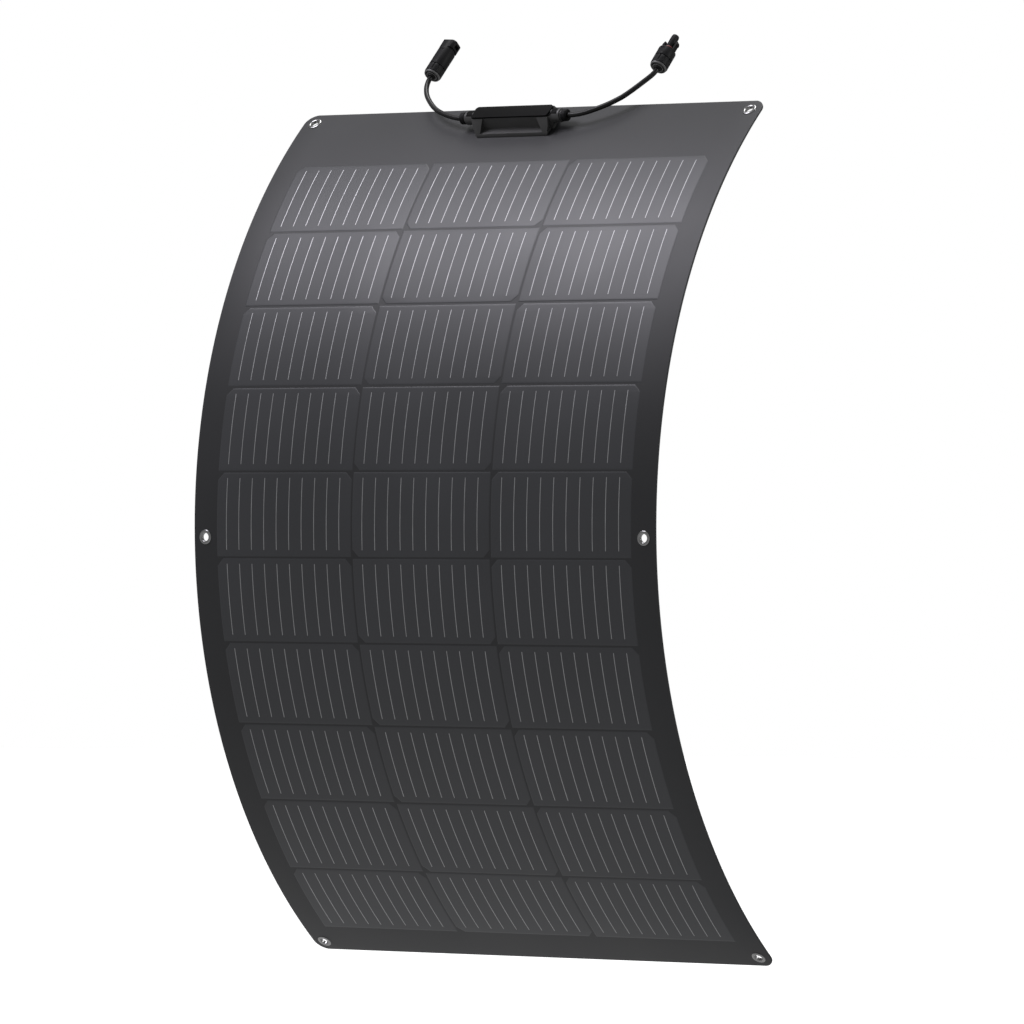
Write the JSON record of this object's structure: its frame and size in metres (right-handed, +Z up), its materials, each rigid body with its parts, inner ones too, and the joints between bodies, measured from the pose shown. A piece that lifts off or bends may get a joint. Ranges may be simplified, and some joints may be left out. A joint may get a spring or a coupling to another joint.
{
  "type": "flexible solar panel",
  "caption": "Thin bendable solar panel with half-cut cells, rim eyelets, a low junction box and two short leads ending in a mating pair of connectors.",
  "frame": {"origin": "middle of the flat strip on the back of row 5, the row that carries the two mid-length eyelets", "axes": "+X across the sheet, +Z up the upright sheet, +Y out of the back at row 5; the cells face -Y and both ends bow away towards +Y"},
  "size_m": [0.612, 0.2601, 1.0102],
  "materials": {
    "film": "textured fluoropolymer front film over black encapsulant, satin",
    "backing": "matt black polymer back sheet",
    "silicon": "dark blue-black half-cut silicon cells under the film",
    "steel": "bright stainless eyelets",
    "tinned": "tinned copper ribbons, terminals and contacts",
    "box": "black moulded polymer with a fine satin grain",
    "potting": "grey silicone potting",
    "jacket": "black cross-linked cable jacket",
    "connector": "black glass-filled polymer",
    "seal": "dull red silicone ring"
  },
  "bodies": {
    "header": {"front_film_header": "film", "back_sheet_header": "backing", "eyelet_top_left": "steel", "eyelet_top_right": "steel", "ribbon_negative": "tinned", "ribbon_top_link": "tinned", "junction_box_base": "box", "junction_box_lid": "box", "junction_box_potting": "potting", "bypass_diode": "box", "terminal_negative": "tinned", "terminal_positive": "tinned", "gland_nut_left": "box", "gland_nut_right": "box", "lead_left": "jacket", "lead_right": "jacket", "pin_connector_shell": "connector", "pin_connector_contact": "tinned", "probe_connector_body": "connector", "probe_connector_contact": "tinned", "probe_connector_seal": "seal"},
    "row_01": {"front_film_row_01": "film", "back_sheet_row_01": "backing", "cell_row_01": "silicon"},
    "row_02": {"front_film_row_02": "film", "back_sheet_row_02": "backing", "cell_row_02": "silicon"},
    "row_03": {"front_film_row_03": "film", "back_sheet_row_03": "backing", "cell_row_03": "silicon"},
    "row_04": {"front_film_row_04": "film", "back_sheet_row_04": "backing", "cell_row_04": "silicon"},
    "row_05": {"front_film_row_05": "film", "back_sheet_row_05": "backing", "cell_row_05": "silicon", "eyelet_middle_left": "steel", "eyelet_middle_right": "steel"},
    "row_06": {"front_film_row_06": "film", "back_sheet_row_06": "backing", "cell_row_06": "silicon"},
    "row_07": {"front_film_row_07": "film", "back_sheet_row_07": "backing", "cell_row_07": "silicon"},
    "row_08": {"front_film_row_08": "film", "back_sheet_row_08": "backing", "cell_row_08": "silicon"},
    "row_09": {"front_film_row_09": "film", "back_sheet_row_09": "backing", "cell_row_09": "silicon"},
    "row_10": {"front_film_row_10": "film", "back_sheet_row_10": "backing", "cell_row_10": "silicon", "eyelet_bottom_left": "steel", "eyelet_bottom_right": "steel", "ribbon_bottom_link": "tinned"},
    "pin_cap_nut": {"pin_connector_cap_nut": "connector"},
    "probe_cap_nut": {"probe_connector_cap_nut": "connector"},
    "latch_left": {"latch_finger_left": "connector"},
    "latch_right": {"latch_finger_right": "connector"}
  },
  "joints": [
    {"name": "flex_01", "type": "hinge", "parent": "row_01", "child": "header", "pos_m": [0, 0.13868, 0.38538], "axis": [-1, 0, 0], "range_deg": [-8.9, 15.7]},
    {"name": "flex_02", "type": "hinge", "parent": "row_02", "child": "row_01", "pos_m": [0, 0.0847, 0.30977], "axis": [-1, 0, 0], "range_deg": [-8.9, 15.7]},
    {"name": "flex_03", "type": "hinge", "parent": "row_03", "child": "row_02", "pos_m": [0, 0.04304, 0.22673], "axis": [-1, 0, 0], "range_deg": [-8.9, 15.7]},
    {"name": "flex_04", "type": "hinge", "parent": "row_04", "child": "row_03", "pos_m": [0, 0.01469, 0.13825], "axis": [-1, 0, 0], "range_deg": [-8.9, 15.7]},
    {"name": "flex_05", "type": "hinge", "parent": "row_05", "child": "row_04", "pos_m": [0, 0.00035, 0.04645], "axis": [-1, 0, 0], "range_deg": [-8.9, 15.7]},
    {"name": "flex_06", "type": "hinge", "parent": "row_05", "child": "row_06", "pos_m": [0, 0.00035, -0.04645], "axis": [1, 0, 0], "range_deg": [-8.9, 15.7]},
    {"name": "flex_07", "type": "hinge", "parent": "row_06", "child": "row_07", "pos_m": [0, 0.01469, -0.13825], "axis": [1, 0, 0], "range_deg": [-8.9, 15.7]},
    {"name": "flex_08", "type": "hinge", "parent": "row_07", "child": "row_08", "pos_m": [0, 0.04304, -0.22673], "axis": [1, 0, 0], "range_deg": [-8.9, 15.7]},
    {"name": "flex_09", "type": "hinge", "parent": "row_08", "child": "row_09", "pos_m": [0, 0.0847, -0.30977], "axis": [1, 0, 0], "range_deg": [-8.9, 15.7]},
    {"name": "flex_10", "type": "hinge", "parent": "row_09", "child": "row_10", "pos_m": [0, 0.13868, -0.38538], "axis": [1, 0, 0], "range_deg": [-8.9, 15.7]},
    {"name": "pin_nut_turn", "type": "hinge", "parent": "header", "child": "pin_cap_nut", "pos_m": [-0.1539, 0.21597, 0.48701], "axis": [0.0698, 0.6552, 0.7522], "range_deg": [0, 360]},
    {"name": "probe_nut_turn", "type": "hinge", "parent": "header", "child": "probe_cap_nut", "pos_m": [0.1496, 0.21597, 0.48701], "axis": [0.0349, 0.6564, 0.7536], "range_deg": [0, 360]},
    {"name": "latch_left_squeeze", "type": "hinge", "parent": "header", "child": "latch_left", "pos_m": [0.14271, 0.2323, 0.50576], "axis": [0, 0.754, -0.6568], "range_deg": [0, 5], "stiffness_Nm_per_rad": 0.5},
    {"name": "latch_right_squeeze", "type": "hinge", "parent": "header", "child": "latch_right", "pos_m": [0.1582, 0.23194, 0.50535], "axis": [0, -0.754, 0.6568], "range_deg": [0, 5], "stiffness_Nm_per_rad": 0.5}
  ],
  "couplings": [
    {"joint": "flex_01", "follows": "flex_05", "ratio": 1},
    {"joint": "flex_02", "follows": "flex_05", "ratio": 1},
    {"joint": "flex_03", "follows": "flex_05", "ratio": 1},
    {"joint": "flex_04", "follows": "flex_05", "ratio": 1},
    {"joint": "flex_06", "follows": "flex_05", "ratio": 1},
    {"joint": "flex_07", "follows": "flex_05", "ratio": 1},
    {"joint": "flex_08", "follows": "flex_05", "ratio": 1},
    {"joint": "flex_09", "follows": "flex_05", "ratio": 1},
    {"joint": "flex_10", "follows": "flex_05", "ratio": 1}
  ]
}
